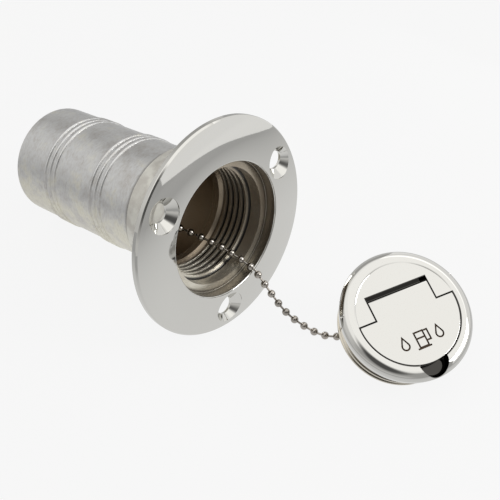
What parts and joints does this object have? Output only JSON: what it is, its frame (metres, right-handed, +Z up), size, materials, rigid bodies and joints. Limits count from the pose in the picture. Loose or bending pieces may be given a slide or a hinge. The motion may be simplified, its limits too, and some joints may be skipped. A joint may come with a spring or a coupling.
{
  "type": "deck fill cap",
  "caption": "Polished stainless deck filler with threaded neck and hose tube, and its screw cap with folding handle, taken off and lying on its ball chain.",
  "frame": {"origin": "on the bench, at the middle of the footprint of everything but the chain", "axes": "+Z up from the bench; +X along the neck as seen from above, from the hose tube to the cap; the neck's own axis rises 11.5 degrees towards +X because it lies on the rim of its flange and the end of its tube"},
  "size_m": [0.2096, 0.1014, 0.0916],
  "materials": {
    "polished": "mirror polished stainless steel",
    "satin": "satin stainless steel, fine turning marks",
    "nickel": "bright nickel-plated",
    "seal": "black nitrile rubber"
  },
  "bodies": {
    "neck": {"deck_flange": "polished", "hose_tube": "satin", "chain_bracket": "satin", "bracket_pin": "satin", "anchor_coupling": "nickel", "chain_inner": "nickel"},
    "tether": {"chain_outer": "nickel", "cap_coupling": "nickel", "swivel_pin": "satin", "swivel_strap": "satin"},
    "cap": {"cap_body": "polished", "cap_seal": "seal", "swivel_stud": "satin", "swivel_washer": "satin", "hinge_pin": "polished"},
    "handle": {"handle_plate": "polished"}
  },
  "joints": [
    {"name": "tether_swing", "type": "hinge", "parent": "neck", "child": "tether", "pos_m": [0.01542, 0.00423, 0.0214], "axis": [0, 0, 1], "range_deg": [-30, 30]},
    {"name": "cap_turn", "type": "hinge", "parent": "tether", "child": "cap", "pos_m": [0.07982, 0.02303, 0.02652], "axis": [0.3377, -0.1765, 0.9245], "continuous": true},
    {"name": "handle_flip", "type": "hinge", "parent": "cap", "child": "handle", "pos_m": [0.07183, 0.0265, 0.02848], "axis": [-0.4035, -0.9146, -0.0272], "range_deg": [0, 120]}
  ]
}
